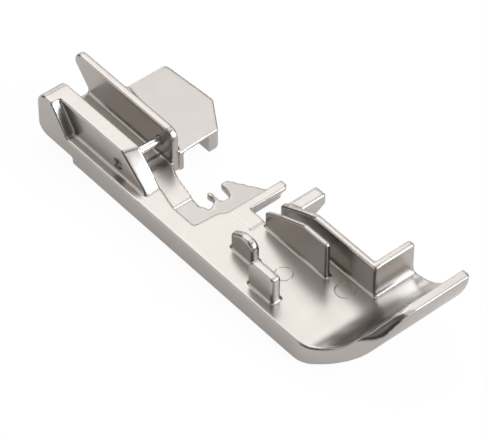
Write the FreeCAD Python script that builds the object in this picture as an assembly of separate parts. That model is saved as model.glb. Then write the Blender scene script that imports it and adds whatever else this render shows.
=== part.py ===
import FreeCAD, Part
import math
import os

# Clip-on overlock presser foot with a bead guide, in millimetres.
# The sole lies on z = 0, +Y runs to the heel, +X to the sewer's right,
# and the holder pin stands over y = 0.

# Overall plate
LEFT_X = -9.12
RIGHT_X = 9.2
PLATE_TOP = 3.35
HEEL_Y = 14.51
HEEL_CORNER_R = 1.8
HEEL_SIDE_R = 0.35
HEEL_STEP_Y = 7.64
HEEL_UNDER_Z = 1.0
SOLE_FRONT_Y = -33.66

# Curled toe, from the flat sole's end up to the flat rim
TOE_UNDER_R = 11.7
TOE_RIM_W = 1.25
TOE_TOP_R = 6.5
TOE_FACE_DEG = 57.5
TOE_TOP_Z = 10.25
TOE_CUT_LAG = 0.43
TOE_CUT_END_X = -3.78
TOE_SIDE_R = 5.0
TOE_NOSE_R = 4.0
TOE_RIGHT_R = 0.4
TOE_FACET_X = -1.7
TOE_FACET_DROP = 0.4
TOE_FACET_OUTER = (-0.62, -0.36, 0.69)
TOE_FACET_INNER = (-0.25, 0.2, 0.94)

# Knife cut-out and the strip that carries the guide walls
STRIP_RIGHT_X = 3.68
STRIP_REAR_Y = -18.56
ROOT_RIGHT_X = 0.77
ROOT_LEFT_X = -1.53
ROOT_SETBACK = 0.55
ROOT_RAISE = 0.1

# Stitch finger
FINGER_REAR_Y = -14.01
FINGER_W = 1.4
FINGER_TIP_X = 6.82
FINGER_T = 0.6
FINGER_TIP_R = 0.55
FINGER_HEEL = 0.2
FINGER_WEB_RUN = 0.16

# Fork plate beside the needle, falling towards the front
FORK_FALL_DEG = 8.0
FORK_T = 0.95
FORK_LENGTH = 5.31
FORK_LEFT_X = -1.81
FORK_RIGHT_X = 6.7
FORK_EDGE_X = 2.45
FORK_NOTCH_LEFT_X = -0.2
FORK_NOTCH_RIGHT_X = 1.35
FORK_NOTCH_DEPTH = 2.25
SMALL_PRONG_W = 0.6

# Stepped pads left of the needle
PAD_ONE_TOP = 2.4
PAD_TWO_REAR_TOP = 2.2
PAD_STEP_Y = -8.4
PAD_STRIP_X = -6.23
FLOOR_TOP = 2.5
FLOOR_FRONT_Y = -4.46

# Ears and holder pin
EAR_TOP = 7.51
EAR_GAP = 4.3
LEFT_EAR_IN_X = -5.38
LEFT_WEB_X = -7.66
LEFT_WEB_R = 0.22
LEFT_EAR_REAR_R = 1.7
LEFT_EAR_FRONT_R = 0.8
LEFT_EAR_OUT_TOP_Y = -0.27
LEFT_EAR_OUT_FOOT_Y = -6.3
LEFT_EAR_IN_TOP_Y = -1.5
LEFT_EAR_IN_FOOT_Y = -5.8
POCKET_LOW_Y = 8.64
POCKET_HIGH_Y = 11.6
POCKET_FRONT_Y = -12.0
RIGHT_EAR_T = 1.2
RIGHT_EAR_FRONT_Y = -2.41
RIGHT_EAR_FRONT_R = 1.5
RIGHT_EAR_TAIL = 2.6
RIGHT_EAR_TAIL_Z = 5.9
PIN_D = 1.15
PIN_Z = 4.85
PIN_SET_IN = 0.9
PIN_SEAT_CLEAR = 0.01
PIN_STAKE_BACK = 0.05
PIN_CHAMFER = 0.12

# Bead tunnel block
BLOCK_REAR_Y = 7.94
BLOCK_REAR_X = 6.4
BLOCK_REAR_R = 0.8
BLOCK_WIDE = (8.5, 1.1)
BLOCK_NOSE = (6.3, -2.55)
BLOCK_SIDE_R = 0.5
BLOCK_FRONT_Y = -2.76
BLOCK_FRONT_Z = 3.85
ROOF_T = 1.0
LIP_T = 0.35
LIP_RUN = 1.0
BLOCK_FOOT_Z = 0.85
EAR_FOOT_Z = 0.7
TUNNEL_LEFT_X = 0.6
TUNNEL_RIGHT_X = 4.75

# Guide walls: each ramps up from the rear over two runs
NEAR_WALL_X = 0.24
NEAR_WALL_T = 0.65
NEAR_WALL_SETBACK = 0.1
NEAR_WALL_LENGTH = 11.3
NEAR_WALL_REAR_Z = 5.62
NEAR_RAMP_RUN = 2.8
NEAR_RAMP_Z = 7.15
NEAR_CREST_RUN = 6.94
NEAR_WALL_TOP = 8.9
FAR_WALL_X = 2.68
FAR_WALL_SETBACK = 0.05
FAR_WALL_REAR_Z = 5.25
FAR_RAMP_RUN = 3.69
FAR_RAMP_Z = 7.0
FAR_CREST_RUN = 6.19
FAR_WALL_TOP = 8.05
RAMP_R = 4.0
CREST_R = 3.0

# Wing across the front of the knife cut-out, and the lug behind it
WING_BACK = 0.1
WING_T = 1.1
WING_TOP = 8.2
WING_END_GAP = 0.12
WING_END_R = 0.35
WING_ROOT_R = 0.4
LUG_SETBACK = 0.6
LUG_W = 2.05
LUG_TOP = 5.85
LUG_END_X = 8.05
LUG_END_T = 1.5
LUG_END_R = 0.5
LUG_REAR_R = 0.55
LUG_ROOT_DROP = 1.6

# Two small fins, staggered in front of one another
FIN_ROUND_R = 0.35
REAR_FIN_X = -5.2
REAR_FIN_T = 1.2
REAR_FIN_SETBACK = 0.05
REAR_FIN_LENGTH = 4.19
REAR_FIN_TOP = 6.66
REAR_FIN_LOW = 5.7
REAR_FIN_RUN = 1.8
REAR_FIN_R = 1.25
FRONT_FIN_X = -7.45
FRONT_FIN_T = 1.4
FIN_GAP = 1.66
FRONT_FIN_LENGTH = 4.6
FRONT_FIN_TOP = 7.25
FRONT_FIN_R = 1.0

# Rounding of the cast edges
EDGE_R = 0.3
FINE_R = 0.15

# How far a solid runs into its neighbour so the join is sound
EMBED = 0.4
BEYOND = 3.0


def corner(before, point, after, radius):
    """Tangent points and the arc that rounds one corner of an outline."""
    a = (before - point).normalize()
    b = (after - point).normalize()
    half = math.acos(max(-1.0, min(1.0, a.dot(b)))) / 2
    reach = radius / math.tan(half)
    start = point + a * reach
    end = point + b * reach
    middle_dir = (a + b).normalize()
    centre = point + middle_dir * (radius / math.sin(half))
    mid = centre - middle_dir * radius
    return start, end, Part.Arc(start, mid, end).toShape()


def outline(points):
    """Closed wire through (vector, radius) corners, rounded where asked."""
    starts = []
    ends = []
    arcs = []
    count = len(points)
    for i, (point, radius) in enumerate(points):
        if radius > 0:
            before = points[i - 1][0]
            after = points[(i + 1) % count][0]
            start, end, arc = corner(before, point, after, radius)
            starts.append(start)
            ends.append(end)
            arcs.append(arc)
        else:
            starts.append(point)
            ends.append(point)
            arcs.append(None)
    edges = []
    for i in range(count):
        if arcs[i] is not None:
            edges.append(arcs[i])
        tail = ends[i]
        head = starts[(i + 1) % count]
        if (head - tail).Length > 1e-6:
            edges.append(Part.LineSegment(tail, head).toShape())
    return Part.Wire(edges)


def side_wire(points, x):
    """Outline drawn in the Y-Z plane at one x, from (y, z, radius)."""
    return outline([(FreeCAD.Vector(x, y, z), r) for y, z, r in points])


def side_prism(points, x_low, x_high):
    """Solid with a Y-Z outline running from x_low to x_high."""
    face = Part.Face(side_wire(points, x_low))
    return face.extrude(FreeCAD.Vector(x_high - x_low, 0, 0))


def plan_prism(points, z_low, z_high):
    """Solid with an X-Y outline, from (x, y, radius), between two heights."""
    wire = outline([(FreeCAD.Vector(x, y, z_low), r) for x, y, r in points])
    return Part.Face(wire).extrude(FreeCAD.Vector(0, 0, z_high - z_low))


def front_prism(points, y_low, y_high):
    """Solid with an X-Z outline, from (x, z, radius), between two depths."""
    wire = outline([(FreeCAD.Vector(x, y_low, z), r) for x, z, r in points])
    return Part.Face(wire).extrude(FreeCAD.Vector(0, y_high - y_low, 0))


def soften(shape, radius, wanted):
    """Round the edges whose middle point the test picks out."""
    edges = []
    for edge in shape.Edges:
        middle = edge.valueAt((edge.FirstParameter + edge.LastParameter) / 2)
        if wanted(middle, edge):
            edges.append(edge)
    return shape.makeFillet(radius, edges)


def near(value, target):
    """Whether two lengths agree to a hundredth of a millimetre."""
    return abs(value - target) < 0.01


def toe_rim_y():
    """Rear edge of the flat rim on top of the toe."""
    return toe_front_y() + TOE_RIM_W


def toe_face_end():
    """Point where the hollow of the toe turns into its straight face."""
    turn = math.radians(TOE_FACE_DEG)
    z = PLATE_TOP + TOE_TOP_R * (1 - math.cos(turn))
    y = toe_rim_y() + (TOE_TOP_Z - z) / math.tan(turn)
    return y, z


def toe_bend_y():
    """Line where the flat top turns up into the toe."""
    return toe_face_end()[0] + TOE_TOP_R * math.sin(math.radians(TOE_FACE_DEG))


def wing_front_y():
    """Front face of the wing."""
    return toe_bend_y() + WING_BACK


def knife_front_y():
    """Front end of the knife cut-out, at the wing's rear face."""
    return wing_front_y() + WING_T


def toe_front_y():
    """Foremost line of the toe, where the under curve meets its rim."""
    drop = TOE_TOP_Z - TOE_UNDER_R
    return SOLE_FRONT_Y - math.sqrt(TOE_UNDER_R ** 2 - drop ** 2)


def plate_side():
    """Side view of the plate with its raised heel and curled toe."""
    turn = math.radians(TOE_FACE_DEG)
    bend_y = toe_bend_y()
    face_y, face_z = toe_face_end()
    front_y = toe_front_y()
    half = math.asin((SOLE_FRONT_Y - front_y) / TOE_UNDER_R) / 2

    def vec(y, z):
        return FreeCAD.Vector(LEFT_X, y, z)

    def line(start, end):
        return Part.LineSegment(start, end).toShape()

    under_mid = vec(SOLE_FRONT_Y - TOE_UNDER_R * math.sin(half),
                    TOE_UNDER_R * (1 - math.cos(half)))
    top_mid = vec(bend_y - TOE_TOP_R * math.sin(turn / 2),
                  PLATE_TOP + TOE_TOP_R * (1 - math.cos(turn / 2)))
    sole_end = vec(SOLE_FRONT_Y, 0)
    step_low = vec(HEEL_STEP_Y, 0)
    step_top = vec(HEEL_STEP_Y, HEEL_UNDER_Z)
    heel_top = vec(HEEL_Y, PLATE_TOP)
    bend = vec(bend_y, PLATE_TOP)
    face = vec(face_y, face_z)
    rim = vec(toe_rim_y(), TOE_TOP_Z)
    tip = vec(front_y, TOE_TOP_Z)
    heel_in, heel_out, heel_arc = corner(
        step_top, vec(HEEL_Y, HEEL_UNDER_Z), heel_top, HEEL_CORNER_R)
    edges = [
        line(sole_end, step_low),
        line(step_low, step_top),
        line(step_top, heel_in),
        heel_arc,
        line(heel_out, heel_top),
        line(heel_top, bend),
        Part.Arc(bend, top_mid, face).toShape(),
        line(face, rim),
        line(rim, tip),
        Part.Arc(tip, under_mid, sole_end).toShape(),
    ]
    return Part.Face(Part.Wire(edges))


def right_ear_x():
    """Inner and outer face of the right ear."""
    inner = LEFT_EAR_IN_X + EAR_GAP
    return inner, inner + RIGHT_EAR_T


def pad_edge():
    """Right edge of the stepped pads, from the fork to the right ear."""
    return [
        (FORK_LEFT_X - 0.11, FINGER_REAR_Y + 1.67, 0.3),
        (FORK_LEFT_X - 0.26, FINGER_REAR_Y + 3.02, 0.3),
        (FORK_LEFT_X - 0.98, FINGER_REAR_Y + 4.08, 0.5),
        (FORK_LEFT_X - 0.94, PAD_STEP_Y + 0.1, 0.5),
        (FORK_LEFT_X - 0.22, FLOOR_FRONT_Y - 0.4, 0.5),
    ]


def plate_plan():
    """Corners of the plate seen from above, starting at the heel."""
    ear_in, ear_out = right_ear_x()
    front_y = toe_front_y()
    knife_y = knife_front_y()
    return [
        (LEFT_X, HEEL_Y, HEEL_SIDE_R),
        (LEFT_X, toe_bend_y() - TOE_CUT_LAG, TOE_SIDE_R),
        (TOE_CUT_END_X, front_y, TOE_NOSE_R),
        (RIGHT_X, front_y, TOE_RIGHT_R),
        (RIGHT_X, knife_y, EDGE_R),
        (STRIP_RIGHT_X, knife_y, EDGE_R),
        (STRIP_RIGHT_X, STRIP_REAR_Y, EDGE_R),
        (ROOT_RIGHT_X, STRIP_REAR_Y, EDGE_R),
        (ROOT_RIGHT_X, FINGER_REAR_Y, 0),
        (ROOT_LEFT_X, FINGER_REAR_Y, 0),
        *pad_edge(),
        (ear_in, RIGHT_EAR_FRONT_Y, 0.2),
        (TUNNEL_LEFT_X, RIGHT_EAR_FRONT_Y, 0.2),
        (TUNNEL_LEFT_X, BLOCK_REAR_Y, 0),
        (ear_out, BLOCK_REAR_Y, 0),
        (ear_out, HEEL_Y, 0),
    ]


def recess_plan():
    """Corners of the stepped recess left of the needle."""
    front_y = FINGER_REAR_Y + 1.05
    return [
        (LEFT_EAR_IN_X, 0, 0),
        (LEFT_EAR_IN_X, FLOOR_FRONT_Y - 1.24, 0.6),
        (PAD_STRIP_X + 0.43, PAD_STEP_Y + 1.01, 1.5),
        (PAD_STRIP_X, PAD_STEP_Y - 0.66, 1.5),
        (PAD_STRIP_X, front_y, 0.3),
        (FORK_LEFT_X - 0.87, front_y - 0.3, 0.3),
        (ROOT_LEFT_X + 0.13, FINGER_REAR_Y, 0),
        (ROOT_RIGHT_X + 0.23, FINGER_REAR_Y, 0),
        (ROOT_RIGHT_X + 0.23, 0, 0),
    ]


def fall(run):
    """Drop of the pad and the fork plate over a run towards the front."""
    return run * math.tan(math.radians(FORK_FALL_DEG))


def toe_facet(direction):
    """Block that trims the left end of the toe rim with one slanted face."""
    normal = FreeCAD.Vector(*direction).normalize()
    size = TOE_TOP_Z - PLATE_TOP + BEYOND
    block = Part.makeBox(2 * size, 2 * size, size,
                         FreeCAD.Vector(-size, -size, 0))
    turn = FreeCAD.Rotation(FreeCAD.Vector(0, 0, 1), normal)
    foot = FreeCAD.Vector(TOE_FACET_X, toe_rim_y(), TOE_TOP_Z - TOE_FACET_DROP)
    block.Placement = FreeCAD.Placement(foot, turn)
    spare = Part.makeBox(4 * size, 4 * size, 4 * size, FreeCAD.Vector(
        -2 * size, toe_face_end()[0], 0))
    return block.cut(spare)


def recess():
    """Space over the two pads: pad one level, pad two falling forwards."""
    sky = EAR_TOP + BEYOND
    front_y = FINGER_REAR_Y
    over_two = [
        (front_y, fork_top(front_y), 0),
        (PAD_STEP_Y, PAD_TWO_REAR_TOP, 0),
        (PAD_STEP_Y, PAD_ONE_TOP, 0),
        (0, PAD_ONE_TOP, 0),
        (0, sky, 0),
        (front_y, sky, 0),
    ]
    column = plan_prism(recess_plan(), 0, sky)
    return column.common(side_prism(over_two, LEFT_X, RIGHT_X))


def plate():
    """Plate: side view and plan together, then the stepped recess."""
    width = FreeCAD.Vector(RIGHT_X - LEFT_X, 0, 0)
    body = plate_side().extrude(width)
    body = body.common(plan_prism(plate_plan(), -1, TOE_TOP_Z + 1))

    def rim(middle, edge):
        long_left = near(middle.x, LEFT_X) and near(middle.z, PLATE_TOP)
        return long_left and edge.Length > EDGE_R * 10

    body = soften(body, EDGE_R, rim)
    body = body.cut(toe_facet(TOE_FACET_OUTER)).cut(toe_facet(TOE_FACET_INNER))
    body = body.cut(recess())
    ear_in = right_ear_x()[0]
    floor_cut = Part.makeBox(ear_in - LEFT_EAR_IN_X, HEEL_Y + BEYOND - FLOOR_FRONT_Y,
                             PLATE_TOP, FreeCAD.Vector(LEFT_EAR_IN_X, FLOOR_FRONT_Y,
                                                       FLOOR_TOP))
    front_cut = Part.makeBox(ear_in - LEFT_EAR_IN_X + EMBED,
                             RIGHT_EAR_FRONT_Y - FLOOR_FRONT_Y, PLATE_TOP,
                             FreeCAD.Vector(LEFT_EAR_IN_X, FLOOR_FRONT_Y,
                                            FLOOR_TOP))
    under_cut = Part.makeBox(TUNNEL_LEFT_X + EMBED - ear_in,
                             HEEL_STEP_Y - RIGHT_EAR_FRONT_Y + 2 * EMBED,
                             EAR_FOOT_Z + EMBED,
                             FreeCAD.Vector(ear_in, RIGHT_EAR_FRONT_Y - EMBED,
                                            -EMBED))
    return body.cut(floor_cut).cut(front_cut).cut(under_cut)


def root_pad():
    """Low raised pad that the stitch finger grows out of."""
    front_y = STRIP_REAR_Y + ROOT_SETBACK
    points = [
        (ROOT_LEFT_X, front_y, 0.2),
        (ROOT_RIGHT_X, front_y, 0),
        (ROOT_RIGHT_X, FINGER_REAR_Y, 0),
        (ROOT_LEFT_X, FINGER_REAR_Y, 0.2),
    ]
    return plan_prism(points, PLATE_TOP - EMBED, PLATE_TOP + ROOT_RAISE)


def fork_top(y):
    """Height of the falling fork plate and pad two at one y."""
    return PAD_TWO_REAR_TOP - fall(PAD_STEP_Y - y)


def finger():
    """Stitch finger with the web that ties it to the fork plate."""
    top = PLATE_TOP + ROOT_RAISE
    low = top - FINGER_T
    front_y = FINGER_REAR_Y - FINGER_W
    web_y = FINGER_REAR_Y + FINGER_WEB_RUN
    side = [
        (front_y, top, FINE_R),
        (FINGER_REAR_Y, top, FINE_R),
        (web_y, fork_top(web_y) - FORK_T, 0),
        (front_y + FINGER_HEEL, low, 0),
        (front_y, low, 0),
    ]
    start_x = ROOT_RIGHT_X - EMBED
    bar = side_prism(side, start_x, FINGER_TIP_X)
    plan = [
        (start_x, front_y, 0),
        (FINGER_TIP_X, front_y, FINGER_TIP_R),
        (FINGER_TIP_X, FINGER_REAR_Y, FINGER_TIP_R),
        (FORK_RIGHT_X - FINE_R, web_y + FINE_R, 0),
        (start_x, web_y + FINE_R, 0),
    ]
    return bar.common(plan_prism(plan, 0, EAR_TOP))


def fork():
    """Thin fork plate with a small and a large prong."""
    tip_y = FINGER_REAR_Y + FORK_LENGTH
    notch_y = tip_y - FORK_NOTCH_DEPTH
    small_x = FORK_NOTCH_LEFT_X - SMALL_PRONG_W
    root_y = FINGER_REAR_Y - EMBED
    points = [
        (FORK_LEFT_X, root_y, 0),
        (FORK_LEFT_X, FINGER_REAR_Y + 1.71, 0.2),
        (FORK_LEFT_X - 0.26, FINGER_REAR_Y + 3.02, 0),
        (small_x + 0.05, notch_y + 0.55, 0.4),
        (small_x - 0.15, tip_y - 0.2, 0.25),
        (FORK_NOTCH_LEFT_X - 0.15, tip_y - 0.1, 0.25),
        (FORK_NOTCH_LEFT_X, notch_y, 0.7),
        (FORK_NOTCH_RIGHT_X, notch_y, 0.5),
        (FORK_NOTCH_RIGHT_X + 0.09, tip_y, 0.3),
        (FORK_EDGE_X, tip_y, 0.5),
        (FORK_RIGHT_X, FINGER_REAR_Y, 0),
        (FORK_RIGHT_X, root_y, 0),
    ]
    column = plan_prism(points, 0, EAR_TOP)
    side = [
        (root_y, fork_top(root_y) - FORK_T, 0),
        (root_y, fork_top(root_y), 0),
        (tip_y, fork_top(tip_y), 0),
        (tip_y, fork_top(tip_y) - FORK_T, 0),
    ]
    sheet = column.common(side_prism(side, LEFT_X, RIGHT_X))
    low = fork_top(root_y) - FORK_T
    spare_side = [
        (root_y - 1, low - 1, 0),
        (FINGER_REAR_Y + FINGER_WEB_RUN - EMBED, low - 1, 0),
        (FINGER_REAR_Y + FINGER_WEB_RUN - EMBED, PLATE_TOP, 0),
        (root_y - 1, PLATE_TOP, 0),
    ]
    return sheet.cut(side_prism(spare_side, ROOT_RIGHT_X, RIGHT_X))


def left_ear():
    """Left ear: heel block, web and sloping front leg, pocket outside."""
    low_z = HEEL_UNDER_Z + HEEL_CORNER_R

    def side(top_y, foot_y, x):
        points = [
            (HEEL_Y, low_z, 0),
            (HEEL_Y, EAR_TOP, LEFT_EAR_REAR_R),
            (top_y, EAR_TOP, LEFT_EAR_FRONT_R),
            (foot_y, PLATE_TOP - EMBED, 0),
            (foot_y, low_z, 0),
        ]
        return side_wire(points, x)

    outer = side(LEFT_EAR_OUT_TOP_Y, LEFT_EAR_OUT_FOOT_Y, LEFT_X)
    inner = side(LEFT_EAR_IN_TOP_Y, LEFT_EAR_IN_FOOT_Y, LEFT_EAR_IN_X)
    ear = Part.makeLoft([outer, inner], True, True)
    sky = EAR_TOP + BEYOND
    rise = (EAR_TOP - PLATE_TOP) / (POCKET_HIGH_Y - POCKET_LOW_Y)
    pocket_side = [
        (POCKET_FRONT_Y, PLATE_TOP, 0),
        (POCKET_LOW_Y, PLATE_TOP, EDGE_R),
        (POCKET_HIGH_Y + 1 / rise, EAR_TOP + 1, 0),
        (POCKET_HIGH_Y + 1 / rise, sky, 0),
        (POCKET_FRONT_Y, sky, 0),
    ]
    pocket = side_prism(pocket_side, LEFT_X - 1, LEFT_WEB_X)

    def outer_rim(middle, edge):
        rear = middle.y > POCKET_HIGH_Y - 1 and middle.z > low_z
        return near(middle.x, LEFT_X) and rear

    def web_rim(middle, edge):
        front = middle.y < POCKET_LOW_Y and middle.z > PLATE_TOP + EDGE_R
        return near(middle.x, LEFT_WEB_X) and front

    ear = soften(ear, HEEL_SIDE_R, outer_rim)
    return soften(ear.cut(pocket), LEFT_WEB_R, web_rim)


def right_ear():
    """Right ear, standing on the tunnel wall, its tail raking rearwards."""
    ear_in, ear_out = right_ear_x()
    tip_y = HEEL_Y + RIGHT_EAR_TAIL
    deep = FLOOR_TOP - EMBED
    side = [
        (RIGHT_EAR_FRONT_Y, deep, 0),
        (RIGHT_EAR_FRONT_Y, EAR_TOP, RIGHT_EAR_FRONT_R),
        (tip_y, EAR_TOP, 1.1),
        (tip_y, RIGHT_EAR_TAIL_Z, 1.0),
        (HEEL_Y - 0.1, FLOOR_TOP + 0.25, 1.0),
        (HEEL_Y - 0.5, deep, 0),
    ]
    ear = side_prism(side, ear_in, ear_out)

    def long_top(middle, edge):
        return near(middle.z, EAR_TOP) and edge.Length > EAR_GAP

    return soften(ear, EDGE_R, long_top)


def ear_foot():
    """Wall between the holder gap and the bead tunnel, under the ear."""
    ear_in, ear_out = right_ear_x()
    rear_y = HEEL_Y - EDGE_R
    side = [
        (RIGHT_EAR_FRONT_Y, EAR_FOOT_Z, 0),
        (RIGHT_EAR_FRONT_Y, PLATE_TOP, 0),
        (rear_y, PLATE_TOP, 0),
        (rear_y, HEEL_UNDER_Z + HEEL_CORNER_R, 0),
        (HEEL_Y - HEEL_CORNER_R, HEEL_UNDER_Z, 0),
        (HEEL_STEP_Y, HEEL_UNDER_Z, 0),
        (HEEL_STEP_Y, EAR_FOOT_Z, 0),
    ]
    return side_prism(side, ear_in, ear_out)


def block_slope():
    """Fall of the tunnel roof per millimetre towards the front."""
    return (EAR_TOP - BLOCK_FRONT_Z) / (BLOCK_REAR_Y - BLOCK_FRONT_Y)


def roof_z(y):
    """Height of the sloping roof at one y."""
    return EAR_TOP - block_slope() * (BLOCK_REAR_Y - y)


def tunnel_block():
    """Block over the bead tunnel with its roof sloping to the needle."""
    start_x = right_ear_x()[1] - EMBED / 2
    plan = [
        (start_x, BLOCK_REAR_Y, 0),
        (BLOCK_REAR_X, BLOCK_REAR_Y, BLOCK_REAR_R),
        (BLOCK_WIDE[0], BLOCK_WIDE[1], BLOCK_SIDE_R),
        (BLOCK_NOSE[0], BLOCK_NOSE[1], BLOCK_SIDE_R),
        (start_x, BLOCK_FRONT_Y, 0),
    ]
    rear_y = BLOCK_REAR_Y + 1
    front_y = BLOCK_FRONT_Y - 1
    side = [
        (rear_y, BLOCK_FOOT_Z, 0),
        (rear_y, roof_z(rear_y), 0),
        (front_y, roof_z(front_y), 0),
        (front_y, BLOCK_FOOT_Z, 0),
    ]
    body = side_prism(side, start_x, RIGHT_X)
    body = body.common(plan_prism(plan, 0, EAR_TOP))

    def roof_edge(middle, edge):
        on_roof = near(middle.z, roof_z(middle.y))
        return on_roof and middle.x > right_ear_x()[1]

    body = soften(body, FINE_R, roof_edge)
    lip_y = BLOCK_FRONT_Y + LIP_RUN
    lip_z = roof_z(BLOCK_FRONT_Y) - LIP_T
    hollow = [
        (rear_y, -1, 0),
        (rear_y, roof_z(rear_y) - ROOF_T, 0),
        (lip_y, roof_z(lip_y) - ROOF_T, 0),
        (BLOCK_FRONT_Y, lip_z, 0),
        (front_y, lip_z, 0),
        (front_y, -1, 0),
    ]
    return body.cut(side_prism(hollow, TUNNEL_LEFT_X, TUNNEL_RIGHT_X))


def wall(x_low, thickness, side, radius):
    """Upright wall with a Y-Z outline and rounded upper edges."""
    x_high = x_low + thickness
    solid = side_prism(side, x_low, x_high)

    def upper(middle, edge):
        on_side = near(middle.x, x_low) or near(middle.x, x_high)
        return on_side and middle.z > PLATE_TOP + 1

    return soften(solid, radius, upper)


def near_wall():
    """Guide wall on the needle side of the bead channel."""
    rear_y = STRIP_REAR_Y - NEAR_WALL_SETBACK
    front_y = rear_y - NEAR_WALL_LENGTH
    deep = PLATE_TOP - EMBED
    side = [
        (rear_y, deep, 0),
        (rear_y, NEAR_WALL_REAR_Z, EDGE_R),
        (rear_y - NEAR_RAMP_RUN, NEAR_RAMP_Z, RAMP_R),
        (rear_y - NEAR_CREST_RUN, NEAR_WALL_TOP, CREST_R),
        (front_y, NEAR_WALL_TOP, EDGE_R),
        (front_y, deep, 0),
    ]
    return wall(NEAR_WALL_X, NEAR_WALL_T, side, FINE_R)


def far_wall():
    """Guide wall along the knife side, from the strip end to the wing."""
    rear_y = STRIP_REAR_Y - FAR_WALL_SETBACK
    front_y = wing_front_y()
    deep = PLATE_TOP - EMBED
    side = [
        (rear_y, deep, 0),
        (rear_y, FAR_WALL_REAR_Z, EDGE_R),
        (rear_y - FAR_RAMP_RUN, FAR_RAMP_Z, RAMP_R),
        (rear_y - FAR_CREST_RUN, FAR_WALL_TOP, CREST_R),
        (front_y, FAR_WALL_TOP, 0),
        (front_y, deep, 0),
    ]
    return wall(FAR_WALL_X, STRIP_RIGHT_X - FAR_WALL_X, side, EDGE_R)


def wing():
    """Cross wall that closes the knife cut-out in front."""
    deep = PLATE_TOP - EMBED
    end_x = RIGHT_X - WING_END_GAP
    points = [
        (FAR_WALL_X, deep, 0),
        (FAR_WALL_X, FAR_WALL_TOP, EDGE_R),
        (STRIP_RIGHT_X, WING_TOP, 0),
        (end_x, WING_TOP, WING_END_R),
        (end_x, deep, 0),
    ]
    front_y = wing_front_y()
    rear_y = knife_front_y()
    solid = front_prism(points, front_y, rear_y)

    def upper(middle, edge):
        on_side = near(middle.y, front_y) or near(middle.y, rear_y)
        return on_side and middle.z > PLATE_TOP + 1

    return soften(solid, EDGE_R, upper)


def wing_root():
    """Hollow fillet between the wing and the foot of the curled toe."""
    front_y = wing_front_y()
    run_y = front_y - 2 * WING_ROOT_R
    run_z = PLATE_TOP + TOE_TOP_R - math.sqrt(
        TOE_TOP_R ** 2 - (toe_bend_y() - run_y) ** 2)
    side = [
        (front_y + EMBED, PLATE_TOP - EMBED, 0),
        (front_y + EMBED, PLATE_TOP + 2 * WING_ROOT_R, 0),
        (front_y, PLATE_TOP + 2 * WING_ROOT_R, 0),
        (front_y, PLATE_TOP, WING_ROOT_R),
        (run_y, run_z, 0),
        (run_y, PLATE_TOP - EMBED, 0),
    ]
    return side_prism(side, FAR_WALL_X, RIGHT_X - WING_END_GAP)


def lug():
    """Short lug on the knife side of the far wall."""
    start_x = STRIP_RIGHT_X - EMBED
    rear_y = STRIP_REAR_Y - LUG_SETBACK
    front_y = rear_y - LUG_W
    root_z = PLATE_TOP - LUG_ROOT_DROP
    points = [
        (start_x, LUG_TOP, 0),
        (LUG_END_X, LUG_TOP, LUG_END_R),
        (LUG_END_X, LUG_TOP - LUG_END_T, LUG_END_R),
        (STRIP_RIGHT_X, root_z, 0),
        (start_x, root_z, 0),
    ]
    bar = front_prism(points, front_y, rear_y)
    plan = [
        (start_x, front_y, 0),
        (LUG_END_X, front_y, LUG_END_R),
        (LUG_END_X, rear_y, LUG_END_R),
        (start_x, rear_y, 0),
    ]
    section = [
        (front_y, root_z, 0),
        (front_y, LUG_TOP, EDGE_R),
        (rear_y, LUG_TOP, LUG_REAR_R),
        (rear_y, root_z, 0),
    ]
    bar = bar.common(plan_prism(plan, 0, EAR_TOP))
    return bar.common(side_prism(section, start_x, LUG_END_X))


def fins():
    """The two small rounded fins that stand staggered on the plate."""
    deep = PLATE_TOP - EMBED
    rear_y = STRIP_REAR_Y - REAR_FIN_SETBACK
    rear_end = rear_y - REAR_FIN_LENGTH
    rear = [
        (rear_y, deep, 0),
        (rear_y, REAR_FIN_LOW, 0.4),
        (rear_y - REAR_FIN_RUN, REAR_FIN_TOP, REAR_FIN_R),
        (rear_end, REAR_FIN_TOP, REAR_FIN_R),
        (rear_end, deep, 0),
    ]
    front_y = rear_end - FIN_GAP
    front_end = front_y - FRONT_FIN_LENGTH
    front = [
        (front_y, deep, 0),
        (front_y, FRONT_FIN_TOP, FRONT_FIN_R),
        (front_end, FRONT_FIN_TOP, 0.4),
        (front_end, deep, 0),
    ]
    return [wall(REAR_FIN_X, REAR_FIN_T, rear, FIN_ROUND_R),
            wall(FRONT_FIN_X, FRONT_FIN_T, front, FIN_ROUND_R)]


def pin_span():
    """Ends of the holder pin: the staked end and the seat in the ear."""
    ear_in = right_ear_x()[0]
    return LEFT_WEB_X + PIN_STAKE_BACK, ear_in + PIN_SET_IN


def pin_cylinder(clearance, start, end):
    """Cylinder along the pin axis, larger all round by the clearance."""
    return Part.makeCylinder(PIN_D / 2 + clearance, end - start,
                             FreeCAD.Vector(start, 0, PIN_Z),
                             FreeCAD.Vector(1, 0, 0))


def pin_hole():
    """Through hole in the left web and blind seat in the right ear."""
    start, end = pin_span()
    return pin_cylinder(PIN_SEAT_CLEAR, start - 1, end + PIN_SEAT_CLEAR)


def foot_casting():
    """The whole casting as one solid, with the seat of the pin."""
    body = plate()
    pieces = [root_pad(), finger(), fork(), left_ear(), ear_foot(),
              right_ear(), tunnel_block(), near_wall(), far_wall(),
              wing(), wing_root(), lug()]
    pieces += fins()
    body = body.fuse(pieces).removeSplitter()
    return body.cut(pin_hole())


def cross_pin():
    """Plain steel pin that the holder clips onto."""
    start, end = pin_span()
    pin = pin_cylinder(0.0, start, end)
    rims = [e for e in pin.Edges if near(e.Length, math.pi * PIN_D)]
    return pin.makeChamfer(PIN_CHAMFER, rims)


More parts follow.
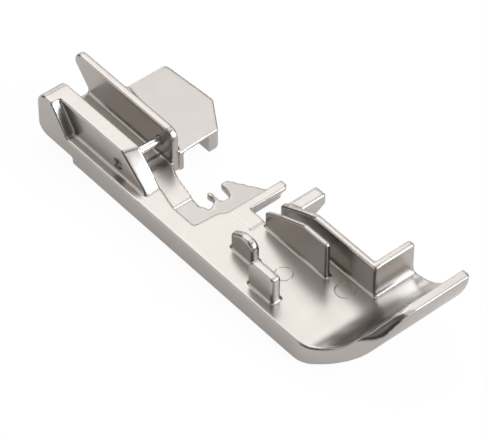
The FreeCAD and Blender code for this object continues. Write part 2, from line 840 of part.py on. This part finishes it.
os.makedirs("parts", exist_ok=True)
casting = foot_casting()
pin = cross_pin()
casting.exportStep("parts/foot_casting.step")
pin.exportStep("parts/cross_pin.step")
for name, shape in (("foot_casting", casting), ("cross_pin", pin)):
    box = shape.BoundBox
    print(name, shape.isValid(), len(shape.Solids), round(shape.Volume, 2),
          [round(v, 3) for v in (box.XMin, box.XMax, box.YMin, box.YMax,
                                 box.ZMin, box.ZMax)])
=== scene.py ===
import logging
import math
from dataclasses import dataclass
from enum import Enum

import bmesh
import bpy
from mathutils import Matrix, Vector, noise
from mathutils.bvhtree import BVHTree
from mathutils.kdtree import KDTree


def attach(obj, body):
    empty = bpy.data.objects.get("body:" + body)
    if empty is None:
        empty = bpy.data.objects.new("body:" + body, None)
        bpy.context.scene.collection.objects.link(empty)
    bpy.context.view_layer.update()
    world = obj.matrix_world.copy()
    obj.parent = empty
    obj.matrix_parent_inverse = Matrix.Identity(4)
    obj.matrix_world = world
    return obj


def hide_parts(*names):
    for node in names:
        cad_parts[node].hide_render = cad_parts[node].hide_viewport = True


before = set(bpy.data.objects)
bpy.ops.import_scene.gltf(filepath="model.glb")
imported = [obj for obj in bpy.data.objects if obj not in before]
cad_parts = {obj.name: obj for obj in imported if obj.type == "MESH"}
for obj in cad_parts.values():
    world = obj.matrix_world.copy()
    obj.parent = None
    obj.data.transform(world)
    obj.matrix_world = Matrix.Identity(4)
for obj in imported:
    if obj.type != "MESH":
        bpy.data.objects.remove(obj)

logging.basicConfig(level=logging.INFO, format="%(name)s: %(message)s")
LOG = logging.getLogger("presser_foot")
MM = 0.001
LOOK_AT_MM = (-0.88, -16.06, 3.35)
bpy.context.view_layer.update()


class Slot(Enum):
    """Material slots of the record."""

    CASTING = "casting"
    PIN = "pin"


class Node(Enum):
    """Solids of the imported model."""

    CASTING = "foot_casting"
    PIN = "cross_pin"


def linear(code: str) -> tuple[float, float, float, float]:
    """Turn an sRGB hex colour into linear light.

    Args:
        code: Colour such as "#C9C4BD".

    Returns:
        Red, green, blue and alpha in linear light.
    """
    parts = [int(code[i:i + 2], 16) / 255 for i in (1, 3, 5)]
    lit = [c / 12.92 if c <= 0.04045 else ((c + 0.055) / 1.055) ** 2.4
           for c in parts]
    return lit[0], lit[1], lit[2], 1.0


def add_node(tree: bpy.types.NodeTree, kind: str,
             links: dict[str | int, bpy.types.NodeSocket] | None = None,
             values: dict[str | int, object] | None = None,
             **settings: object) -> bpy.types.Node:
    """Add one node with its settings, values and incoming links.

    Args:
        tree: Tree that gets the node.
        kind: Blender's type name for the node.
        links: Sockets to link to the node's inputs, by name or index.
        values: Default values for the node's inputs, by name or index.
        settings: Properties set on the node itself.

    Returns:
        The new node.
    """
    node = tree.nodes.new(kind)
    for name, value in settings.items():
        setattr(node, name, value)
    for key, value in (values or {}).items():
        node.inputs[key].default_value = value
    for key, socket in (links or {}).items():
        tree.links.new(socket, node.inputs[key])
    return node


def new_material(name: str) -> tuple[bpy.types.Material, bpy.types.NodeTree,
                                     bpy.types.Node, bpy.types.Node]:
    """Make a material with an empty shader ready to be wired.

    Args:
        name: Name of the finish.

    Returns:
        The material, its tree, its shader and its coordinate node.
    """
    material = bpy.data.materials.new(name)
    material.use_nodes = True
    tree = material.node_tree
    shader = tree.nodes["Principled BSDF"]
    coords = add_node(tree, "ShaderNodeTexCoord")
    return material, tree, shader, coords


@dataclass(frozen=True)
class SatinNickel:
    """Satin nickel plate over a fine casting."""

    # Nickel is a slightly warm grey. The satin skin spreads reflections by
    # a few degrees, and the casting under it shows as a faint mottle. Its
    # grain is drawn a few times coarser than the real one, so that it shows.
    tint: str = "#BFBAB5"
    tint_worn: str = "#B8B2AD"
    roughness: float = 0.285
    roughness_spread: float = 0.008
    mottle_mm: float = 3.2
    mottle_low: float = 0.3
    mottle_high: float = 0.7
    grain_mm: float = 0.22
    grain_depth_mm: float = 0.002
    wave_mm: float = 4.5
    wave_depth_mm: float = 0.01

    def build(self) -> bpy.types.Material:
        """Build the plated finish.

        Returns:
            The material.
        """
        material, tree, shader, coords = new_material("satin_nickel_plate")
        place = coords.outputs["Object"]
        mottle = add_node(tree, "ShaderNodeTexNoise", {"Vector": place},
                          {"Scale": 1 / (self.mottle_mm * MM),
                           "Detail": 3.0, "Roughness": 0.6})
        colour = add_node(tree, "ShaderNodeMix", {"Factor": mottle.outputs[0]},
                          data_type="RGBA")
        colour.inputs["A"].default_value = linear(self.tint)
        colour.inputs["B"].default_value = linear(self.tint_worn)
        low = self.roughness - self.roughness_spread
        high = self.roughness + self.roughness_spread
        gloss = add_node(tree, "ShaderNodeMapRange",
                         {"Value": mottle.outputs[0]},
                         {"From Min": self.mottle_low,
                          "From Max": self.mottle_high,
                          "To Min": low, "To Max": high})
        grain = add_node(tree, "ShaderNodeTexNoise", {"Vector": place},
                         {"Scale": 1 / (self.grain_mm * MM), "Detail": 2.0})
        wave = add_node(tree, "ShaderNodeTexNoise", {"Vector": place},
                        {"Scale": 1 / (self.wave_mm * MM), "Detail": 1.0})
        swell = add_node(tree, "ShaderNodeBump",
                         {"Height": wave.outputs[0]},
                         {"Strength": 1.0,
                          "Distance": self.wave_depth_mm * MM})
        bump = add_node(tree, "ShaderNodeBump",
                        {"Height": grain.outputs[0],
                         "Normal": swell.outputs["Normal"]},
                        {"Strength": 1.0,
                         "Distance": self.grain_depth_mm * MM})
        tree.links.new(colour.outputs["Result"], shader.inputs["Base Color"])
        tree.links.new(gloss.outputs["Result"], shader.inputs["Roughness"])
        tree.links.new(bump.outputs["Normal"], shader.inputs["Normal"])
        shader.inputs["Metallic"].default_value = 1.0
        return material


@dataclass(frozen=True)
class GroundSteel:
    """Ground and polished steel pin."""

    # Drawn steel, ground round: a little whiter and sharper than the plate,
    # with fine rings round the pin that blur its highlight lengthwise. The
    # rings are drawn several times coarser than real ones, so that they show.
    tint: str = "#D5D2CD"
    roughness: float = 0.2
    sharper: float = 0.05
    duller: float = 0.08
    ring_mm: float = 0.08
    ring_depth_mm: float = 0.001
    ring_stretch: float = 0.05

    def build(self) -> bpy.types.Material:
        """Build the ground finish.

        Returns:
            The material.
        """
        material, tree, shader, coords = new_material("ground_steel")
        turned = add_node(tree, "ShaderNodeMapping",
                          {"Vector": coords.outputs["Object"]},
                          {"Scale": (1.0, self.ring_stretch,
                                     self.ring_stretch)})
        rings = add_node(tree, "ShaderNodeTexNoise",
                         {"Vector": turned.outputs["Vector"]},
                         {"Scale": 1 / (self.ring_mm * MM), "Detail": 2.0})
        bump = add_node(tree, "ShaderNodeBump", {"Height": rings.outputs[0]},
                        {"Strength": 1.0, "Distance": self.ring_depth_mm * MM})
        gloss = add_node(tree, "ShaderNodeMapRange",
                         {"Value": rings.outputs[0]},
                         {"To Min": self.roughness - self.sharper,
                          "To Max": self.roughness + self.duller})
        tree.links.new(bump.outputs["Normal"], shader.inputs["Normal"])
        tree.links.new(gloss.outputs["Result"], shader.inputs["Roughness"])
        shader.inputs["Base Color"].default_value = linear(self.tint)
        shader.inputs["Metallic"].default_value = 1.0
        return material


@dataclass(frozen=True)
class HammeredSteel:
    """Pin end hammered over in its hole, with darker brown patches at random.
    """

    # The blows leave raw, scaly steel that is browner and duller than the
    # nickel round it.
    tint: str = "#A99F97"
    tint_dark: str = "#4A413C"
    roughness: float = 0.38
    # dent_mm sets the size of the darker brown patches, which a noise scatters
    # at random.
    dent_mm: float = 0.3
    dark_from: float = 0.42
    dark_to: float = 0.6

    def build(self) -> bpy.types.Material:
        """Build the raw finish.

        Returns:
            The material.
        """
        material, tree, shader, coords = new_material("hammered_steel")
        # Darker brown patches, scattered by a noise.
        dark_spots = add_node(tree, "ShaderNodeTexNoise",
                         {"Vector": coords.outputs["Object"]},
                         {"Scale": 1 / (self.dent_mm * MM), "Detail": 2.0})
        share = add_node(tree, "ShaderNodeMapRange",
                         {"Value": dark_spots.outputs[0]},
                         {"From Min": self.dark_from,
                          "From Max": self.dark_to})
        colour = add_node(tree, "ShaderNodeMix",
                          {"Factor": share.outputs["Result"]},
                          data_type="RGBA")
        colour.inputs["A"].default_value = linear(self.tint)
        colour.inputs["B"].default_value = linear(self.tint_dark)
        tree.links.new(colour.outputs["Result"], shader.inputs["Base Color"])
        shader.inputs["Roughness"].default_value = self.roughness
        shader.inputs["Metallic"].default_value = 1.0
        return material


@dataclass(frozen=True)
class WhiteTable:
    """Matt white table top that the photograph's light makes pure white."""

    # Laminated board, matt and a touch warm. The glow fills the camera's
    # view to white. In the metal less of it shows, so that the foot mirrors
    # its own shadow on the board.
    tint: str = "#F3EEEB"
    roughness: float = 0.9
    glow: float = 1.02
    share_in_view: float = 0.93
    share_in_metal: float = 0.4

    def build(self) -> bpy.types.Material:
        """Build the table's surface.

        Returns:
            The material.
        """
        material, tree, shader, _ = new_material("white_table")
        shader.inputs["Base Color"].default_value = linear(self.tint)
        shader.inputs["Roughness"].default_value = self.roughness
        white = add_node(tree, "ShaderNodeEmission", values={
            "Color": (1.0, 1.0, 1.0, 1.0), "Strength": self.glow})
        path = add_node(tree, "ShaderNodeLightPath")
        seen = add_node(tree, "ShaderNodeMath",
                        {0: path.outputs["Is Camera Ray"],
                         1: path.outputs["Is Transmission Ray"]},
                        operation="ADD", use_clamp=True)
        in_view = add_node(tree, "ShaderNodeMath", {0: seen.outputs[0]},
                           {1: self.share_in_view}, operation="MULTIPLY")
        share = add_node(tree, "ShaderNodeMath",
                         {0: path.outputs["Is Glossy Ray"],
                          2: in_view.outputs[0]},
                         {1: self.share_in_metal}, operation="MULTIPLY_ADD")
        mix = add_node(tree, "ShaderNodeMixShader",
                       {0: share.outputs[0], 1: shader.outputs[0],
                        2: white.outputs[0]})
        tree.links.new(mix.outputs[0],
                       tree.nodes["Material Output"].inputs["Surface"])
        return material


def link(piece: bpy.types.Object) -> bpy.types.Object:
    """Put a new object into the scene and hand it back.

    Args:
        piece: Object that no collection holds yet.

    Returns:
        The same object.
    """
    bpy.context.scene.collection.objects.link(piece)
    return piece


def bake(piece: bpy.types.Object) -> None:
    """Turn a piece with live modifiers into a plain mesh.

    Args:
        piece: Object whose modifiers are applied and removed.
    """
    graph = bpy.context.evaluated_depsgraph_get()
    mesh = bpy.data.meshes.new_from_object(piece.evaluated_get(graph))
    piece.modifiers.clear()
    piece.data = mesh


def dress(piece: bpy.types.Object, material: bpy.types.Material) -> None:
    """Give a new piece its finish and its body.

    Args:
        piece: The finished mesh object.
        material: Finish for the whole piece.
    """
    piece.data.materials.clear()
    piece.data.materials.append(material)
    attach(piece, "root")


@dataclass(frozen=True)
class MeltSpot:
    """Spot where the hand-finished casting flows in one soft curve."""

    x_mm: float
    y_mm: float
    z_mm: float
    reach_mm: float
    passes: int


@dataclass
class CastFoot:
    """The casting, copied from the solid with every edge softened."""

    # Vertices nearer to a solid's edge than edge_near_mm stay softened, and
    # those past edge_far_mm lie on its flat faces. The kept share is what
    # thinning the flat faces leaves.
    grid_mm: float = 0.17
    kept_share: float = 0.8
    blend_passes: int = 2
    blend_factor: float = 0.5
    merge_mm: float = 0.0005
    flat_turn_deg: float = 1.0
    edge_step_mm: float = 0.1
    edge_near_mm: float = 0.12
    edge_far_mm: float = 0.26
    melt_factor: float = 0.5
    melt_shrink: float = 0.5
    melted: tuple[MeltSpot, ...] = (
        MeltSpot(-4.7, -43.6, 7.8, 2.2, 70),
        MeltSpot(-2.6, -44.3, 9.0, 1.8, 40),
        MeltSpot(-0.8, -44.8, 10.2, 1.5, 40))

    def skin(self) -> bpy.types.Object:
        """Copy the casting's mesh and soften it as casting and plating do.

        Returns:
            The new object.
        """
        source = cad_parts[Node.CASTING.value]
        mesh = source.data.copy()
        mesh.name = "casting_skin"
        work = bmesh.new()
        work.from_mesh(mesh)
        bmesh.ops.remove_doubles(work, verts=work.verts,
                                 dist=self.merge_mm * MM)
        work.to_mesh(mesh)
        solid = BVHTree.FromBMesh(work)
        edges = self.edge_points(work)
        work.free()
        piece = link(bpy.data.objects.new("casting_skin", mesh))
        grid = piece.modifiers.new("even_grid", "REMESH")
        grid.mode = "VOXEL"
        grid.voxel_size = self.grid_mm * MM
        grid.use_smooth_shade = True
        blend = piece.modifiers.new("soft_edges", "SMOOTH")
        blend.factor = self.blend_factor
        blend.iterations = self.blend_passes
        bake(piece)
        self.settle(piece.data, solid, edges)
        self.melt(piece.data)
        thin = piece.modifiers.new("fewer_flat_faces", "DECIMATE")
        thin.ratio = self.kept_share
        bake(piece)
        return piece

    def edge_points(self, work: bmesh.types.BMesh) -> KDTree:
        """Collect points along every edge where the solid's surface turns.

        Args:
            work: The solid's mesh with merged vertices.

        Returns:
            Search tree of the points.
        """
        level = math.radians(self.flat_turn_deg)
        points = []
        for edge in work.edges:
            if edge.calc_face_angle(math.pi) < level:
                continue
            start, end = (vertex.co for vertex in edge.verts)
            count = max(1, round(edge.calc_length()
                                 / (self.edge_step_mm * MM)))
            points += [start.lerp(end, step / count)
                       for step in range(count + 1)]
        found = KDTree(len(points))
        for index, point in enumerate(points):
            found.insert(point, index)
        found.balance()
        return found

    def settle(self, mesh: bpy.types.Mesh, solid: BVHTree,
               edges: KDTree) -> None:
        """Lay the skin back on the solid's flat faces, clear of edges.

        Args:
            mesh: The softened skin.
            solid: Search tree of the solid's own surface.
            edges: Search tree of points along the solid's edges.
        """
        low = self.edge_near_mm * MM
        high = self.edge_far_mm * MM
        for vertex in mesh.vertices:
            away = edges.find(vertex.co)[2]
            if away > low:
                part = min(1.0, (away - low) / (high - low))
                ease = part * part * (3 - 2 * part)
                spot = solid.find_nearest(vertex.co)[0]
                vertex.co = vertex.co.lerp(spot, ease)
        mesh.update()

    def melt(self, mesh: bpy.types.Mesh) -> None:
        """Let the skin flow together round the toe's rubbed-down corner.

        Args:
            mesh: The settled skin.
        """
        work = bmesh.new()
        work.from_mesh(mesh)
        for spot in self.melted:
            centre = Vector((spot.x_mm, spot.y_mm, spot.z_mm)) * MM
            reach = spot.reach_mm * MM
            near = sorted(((vertex.co - centre).length, vertex.index, vertex)
                          for vertex in work.verts
                          if (vertex.co - centre).length < reach)
            for step in range(spot.passes):
                share = 1.0 - self.melt_shrink * step / spot.passes
                taken = [vertex for gap, _, vertex in near
                         if gap < reach * share]
                bmesh.ops.smooth_vert(work, verts=taken,
                                      factor=self.melt_factor,
                                      use_axis_x=True, use_axis_y=True,
                                      use_axis_z=True)
        work.to_mesh(mesh)
        work.free()

    def build(self, finish: bpy.types.Material) -> bpy.types.Object:
        """Build the casting and dress it.

        Args:
            finish: Plated finish of the casting.

        Returns:
            The piece.
        """
        piece = self.skin()
        dress(piece, finish)
        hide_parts(Node.CASTING.value)
        LOG.info("casting with %d faces", len(piece.data.polygons))
        return piece


@dataclass(frozen=True)
class EjectorMark:
    """Witness ring that a round ejector pin leaves on the plate."""

    x_mm: float
    y_mm: float
    radius_mm: float


@dataclass
class EjectorMarks:
    """The two faint rings on top of the plate."""

    # Each ring is a bead of radius line_mm, its middle sink_mm below the
    # plate's top.
    plate_top_mm: float = 3.35
    line_mm: float = 0.09
    sink_mm: float = 0.045
    ring_points: int = 72
    bead_points: int = 10
    marks: tuple[EjectorMark, ...] = (EjectorMark(-3.17, -26.17, 1.13),
                                      EjectorMark(0.69, -32.92, 1.25))

    def nodes(self, finish: bpy.types.Material) -> bpy.types.NodeTree:
        """Build the node group that sweeps a fine bead along both rings.

        Args:
            finish: Finish of the beads.

        Returns:
            The node group.
        """
        tree = bpy.data.node_groups.new("ejector_rings", "GeometryNodeTree")
        tree.interface.new_socket("Geometry", in_out="OUTPUT",
                                  socket_type="NodeSocketGeometry")
        bead = tree.interface.new_socket("Bead Radius", in_out="INPUT",
                                         socket_type="NodeSocketFloat")
        bead.subtype = "DISTANCE"
        entry = add_node(tree, "NodeGroupInput")
        paths = add_node(tree, "GeometryNodeJoinGeometry")
        for mark in self.marks:
            ring = add_node(tree, "GeometryNodeCurvePrimitiveCircle",
                            values={"Resolution": self.ring_points,
                                    "Radius": mark.radius_mm * MM})
            height = (self.plate_top_mm - self.sink_mm) * MM
            place = add_node(tree, "GeometryNodeTransform",
                             {"Geometry": ring.outputs["Curve"]},
                             {"Translation": (mark.x_mm * MM, mark.y_mm * MM,
                                              height)})
            tree.links.new(place.outputs["Geometry"], paths.inputs[0])
        profile = add_node(tree, "GeometryNodeCurvePrimitiveCircle",
                           {"Radius": entry.outputs["Bead Radius"]},
                           {"Resolution": self.bead_points})
        sweep = add_node(tree, "GeometryNodeCurveToMesh",
                         {"Curve": paths.outputs["Geometry"],
                          "Profile Curve": profile.outputs["Curve"]})
        real = add_node(tree, "GeometryNodeRealizeInstances",
                        {"Geometry": sweep.outputs["Mesh"]})
        smooth = add_node(tree, "GeometryNodeSetShadeSmooth",
                          {0: real.outputs["Geometry"]})
        coat = add_node(tree, "GeometryNodeSetMaterial",
                        {"Geometry": smooth.outputs[0]})
        coat.inputs["Material"].default_value = finish
        leave = add_node(tree, "NodeGroupOutput")
        tree.links.new(coat.outputs["Geometry"], leave.inputs[0])
        return tree

    def build(self, finish: bpy.types.Material) -> bpy.types.Object:
        """Build both rings as one piece.

        Args:
            finish: Finish of the casting.

        Returns:
            The piece.
        """
        mesh = bpy.data.meshes.new("ejector_rings")
        piece = link(bpy.data.objects.new("ejector_rings", mesh))
        tree = self.nodes(finish)
        maker = piece.modifiers.new("rings", "NODES")
        maker.node_group = tree
        for item in tree.interface.items_tree:
            if item.name == "Bead Radius":
                maker[item.identifier] = self.line_mm * MM
        bake(piece)
        dress(piece, finish)
        return piece


@dataclass
class StakedEnd:
    """Pin end, hammered over in its hole on the outside of the left web."""

    # The disc lies on the web and closes inside it. A ragged burr stands
    # round the hole, the pin inside it is dented, and chips lie outside.
    # Waves are counted per millimetre.
    web_x_mm: float = -7.66
    axis_z_mm: float = 4.85
    hole_mm: float = 0.6
    reach_mm: float = 1.05
    fade_mm: float = 0.35
    bed_mm: float = 0.03
    root_mm: float = 0.12
    rings: int = 26
    spokes: int = 84
    slice_mm: float = 0.4
    coarse_waves: float = 2.3
    coarse_share: float = 0.6
    fine_waves: float = 6.1
    fine_share: float = 0.4
    rim_stray: float = 0.22
    rim_mm: float = 0.13
    burr_mm: float = 0.26
    burr_least: float = 0.15
    burr_mean: float = 0.75
    burr_swing: float = 1.4
    dome_mm: float = 0.05
    dent_mm: float = 0.2
    dent_least: float = -0.2
    dent_waves: float = 3.7
    dent_shift: tuple[float, float, float] = (3.0, 1.0, 2.0)
    chip_mm: float = 0.12
    chip_waves: float = 4.2
    chip_shift: tuple[float, float, float] = (7.0, 2.0, 5.0)

    def height(self, radius: float, turn: float) -> float:
        """Height of the hammered metal above the web.

        Args:
            radius: Distance from the pin axis in millimetres.
            turn: Angle round the axis in radians.

        Returns:
            Height in millimetres, below zero inside the metal.
        """
        spot = Vector((radius * math.cos(turn), radius * math.sin(turn),
                       self.slice_mm))
        ragged = (noise.noise(spot * self.coarse_waves) * self.coarse_share
                  + noise.noise(spot * self.fine_waves) * self.fine_share)
        crest = self.hole_mm * (1 + self.rim_stray * ragged)
        rim = math.exp(-((radius - crest) / self.rim_mm) ** 2)
        tall = max(self.burr_least, self.burr_mean + self.burr_swing * ragged)
        burr = self.burr_mm * rim * tall
        dome = 0.0
        if radius < self.hole_mm:
            dent = noise.noise(spot * self.dent_waves
                               + Vector(self.dent_shift))
            dome = self.dome_mm + self.dent_mm * max(self.dent_least, dent)
        chip = noise.noise(spot * self.chip_waves + Vector(self.chip_shift))
        chips = self.chip_mm * max(0.0, chip)
        fade = max(0.0, min(1.0, (self.reach_mm - radius) / self.fade_mm))
        return (burr + dome + chips) * fade - self.bed_mm * (1 - fade)

    def build(self, finish: bpy.types.Material) -> bpy.types.Object:
        """Build the hammered disc, closed behind inside the web.

        Args:
            finish: Finish of the disc.

        Returns:
            The piece.
        """
        work = bmesh.new()
        rows = []
        for ring in range(1, self.rings + 1):
            radius = self.reach_mm * ring / self.rings
            row = []
            for spoke in range(self.spokes):
                turn = math.tau * spoke / self.spokes
                high = self.height(radius, turn)
                row.append(work.verts.new(
                    ((self.web_x_mm - high) * MM,
                     radius * math.cos(turn) * MM,
                     (self.axis_z_mm + radius * math.sin(turn)) * MM)))
            rows.append(row)
        root = [work.verts.new(((self.web_x_mm + self.root_mm) * MM,
                                vertex.co.y, vertex.co.z))
                for vertex in rows[-1]]
        rows.append(root)
        hub = work.verts.new(((self.web_x_mm - self.height(0.0, 0.0)) * MM,
                              0.0, self.axis_z_mm * MM))
        for spoke in range(self.spokes):
            after = (spoke + 1) % self.spokes
            work.faces.new((hub, rows[0][after], rows[0][spoke]))
            for low, high in zip(rows, rows[1:]):
                work.faces.new((low[spoke], low[after],
                                high[after], high[spoke]))
        work.faces.new(root[::-1])
        bmesh.ops.recalc_face_normals(work, faces=work.faces)
        for face in work.faces:
            face.smooth = True
        mesh = bpy.data.meshes.new("staked_end")
        work.to_mesh(mesh)
        work.free()
        piece = link(bpy.data.objects.new("staked_end", mesh))
        dress(piece, finish)
        return piece


@dataclass(frozen=True)
class SoftBox:
    """One soft box round the foot."""

    # Azimuth runs from the heel's side (+Y) towards the sewer's right (+X).
    # Lengths are in metres, and a white card in full light has radiance 1.
    name: str
    azimuth_deg: float
    elevation_deg: float
    distance: float
    width: float
    height: float
    radiance: float
    tint: str = "#FFFFFF"

    def towards(self) -> Vector:
        """Direction from the foot to the box.

        Returns:
            Unit vector.
        """
        turn = math.radians(self.azimuth_deg)
        rise = math.radians(self.elevation_deg)
        return Vector((math.cos(rise) * math.sin(turn),
                       math.cos(rise) * math.cos(turn), math.sin(rise)))

    def hang(self, target: Vector) -> bpy.types.Object:
        """Hang the box so that it faces the foot.

        Args:
            target: Point that the box faces.

        Returns:
            The lamp.
        """
        data = bpy.data.lights.new(self.name, "AREA")
        data.shape = "RECTANGLE"
        data.size, data.size_y = self.width, self.height
        data.energy = self.radiance * math.pi * self.width * self.height
        data.color = linear(self.tint)[:3]
        lamp = link(bpy.data.objects.new(self.name, data))
        way = self.towards()
        lamp.location = target + way * self.distance
        lamp.rotation_euler = way.to_track_quat("Z", "Y").to_euler()
        return lamp


@dataclass
class StudioLight:
    """Soft boxes, white table and plain surround of the photograph."""

    target: Vector
    table_size: float = 3.0
    table_drop: float = 0.00002
    room: float = 0.02

    def table(self) -> bpy.types.Object:
        """Lay the white table under the foot.

        Returns:
            The table's object.
        """
        half = self.table_size / 2
        mesh = bpy.data.meshes.new("white_table")
        mesh.from_pydata([(-half, -half, 0), (half, -half, 0),
                          (half, half, 0), (-half, half, 0)], [],
                         [(0, 1, 2, 3)])
        table = link(bpy.data.objects.new("white_table", mesh))
        table.location.z = -self.table_drop
        mesh.materials.append(WhiteTable().build())
        return table

    def surround(self) -> None:
        """Set the plain grey room around the table."""
        world = bpy.data.worlds.new("plain_room")
        bpy.context.scene.world = world
        world.use_nodes = True
        shade = world.node_tree.nodes["Background"]
        shade.inputs["Color"].default_value = (1.0, 1.0, 1.0, 1.0)
        shade.inputs["Strength"].default_value = self.room

    def boxes(self) -> list[SoftBox]:
        """List the soft boxes of the photograph.

        Returns:
            The boxes: a broad key behind, a cooler fill in front and a
            daylight pair that reaches the toe's hollow off the wing.
        """
        cool = "#FAFDFF"
        daylight = "#E6F3FF"
        return [
            SoftBox("key_box", 27, 49, 0.7, 0.5, 0.4, 2.0),
            SoftBox("rear_key_box", 0, 60, 0.8, 0.35, 0.35, 0.6),
            SoftBox("top_box", 90, 78, 0.8, 0.4, 0.4, 1.0),
            SoftBox("roof_box", 92, 60, 0.8, 0.3, 0.3, 1.35),
            SoftBox("zenith_box", -141, 84, 0.8, 0.3, 0.3, 1.0),
            SoftBox("low_rear_box", 20, 13, 0.8, 0.5, 0.22, 1.1),
            SoftBox("rear_band_box", 42, 15, 1.0, 0.9, 0.3, 1.1),
            SoftBox("low_right_box", 70, 24, 0.8, 0.45, 0.35, 0.8),
            SoftBox("right_box", 108, 42, 0.8, 0.45, 0.35, 1.3),
            SoftBox("right_low_box", 112, 16, 0.8, 0.4, 0.25, 0.4),
            SoftBox("front_right_box", 155, 34, 0.7, 0.4, 0.3, 2.4, cool),
            SoftBox("toe_box", 141, 38, 0.7, 0.2, 0.35, 3.3, daylight),
            SoftBox("low_front_box", 151, 16, 0.7, 0.4, 0.3, 6.4, daylight),
            SoftBox("front_low_box", -170, 16, 0.8, 0.4, 0.25, 0.3, cool),
            SoftBox("front_box", -170, 46, 0.7, 0.4, 0.3, 1.0, cool),
            SoftBox("camera_side_box", -141, 62, 0.8, 0.3, 0.3, 0.4, cool),
            SoftBox("left_high_box", -102, 38, 0.8, 0.3, 0.3, 0.35),
            SoftBox("left_box", -58, 18, 0.8, 0.45, 0.35, 1.4),
            SoftBox("rear_left_box", -38, 46, 0.8, 0.4, 0.35, 0.95),
        ]

    def build(self) -> None:
        """Set up the whole studio."""
        self.table()
        self.surround()
        for box in self.boxes():
            box.hang(self.target)


@dataclass
class PhotoCamera:
    """Camera at the photograph's viewing angle."""

    # Azimuth runs from the toe's side (-Y) towards the sewer's right (+X);
    # distances are in metres, lens and sensor in millimetres.
    target: Vector
    azimuth_deg: float = -40.11
    elevation_deg: float = 46.19
    distance: float = 0.3882
    nearest: float = 0.01
    lens: float = 234.8
    sensor: float = 36.0

    def build(self) -> None:
        """Place the camera and make it the scene's own."""
        turn = math.radians(self.azimuth_deg)
        rise = math.radians(self.elevation_deg)
        away = Vector((math.sin(turn) * math.cos(rise),
                       -math.cos(turn) * math.cos(rise), math.sin(rise)))
        data = bpy.data.cameras.new("photo_camera")
        data.lens = self.lens
        data.sensor_width = self.sensor
        data.sensor_fit = "HORIZONTAL"
        data.clip_start = self.nearest
        camera = link(bpy.data.objects.new("photo_camera", data))
        camera.location = self.target + away * self.distance
        camera.rotation_euler = away.to_track_quat("Z", "Y").to_euler()
        bpy.context.scene.camera = camera


def main() -> None:
    """Build the foot, the studio and the camera in order."""
    target = Vector(LOOK_AT_MM) * MM
    nickel = SatinNickel().build()
    steel = GroundSteel().build()
    CastFoot().build(nickel)
    EjectorMarks().build(nickel)
    StakedEnd().build(HammeredSteel().build())
    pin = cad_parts[Node.PIN.value]
    pin.data.materials.clear()
    pin.data.materials.append(steel)
    StudioLight(target).build()
    PhotoCamera(target).build()
    bpy.context.scene.view_settings.view_transform = "Standard"


if __name__ == "__main__":
    main()
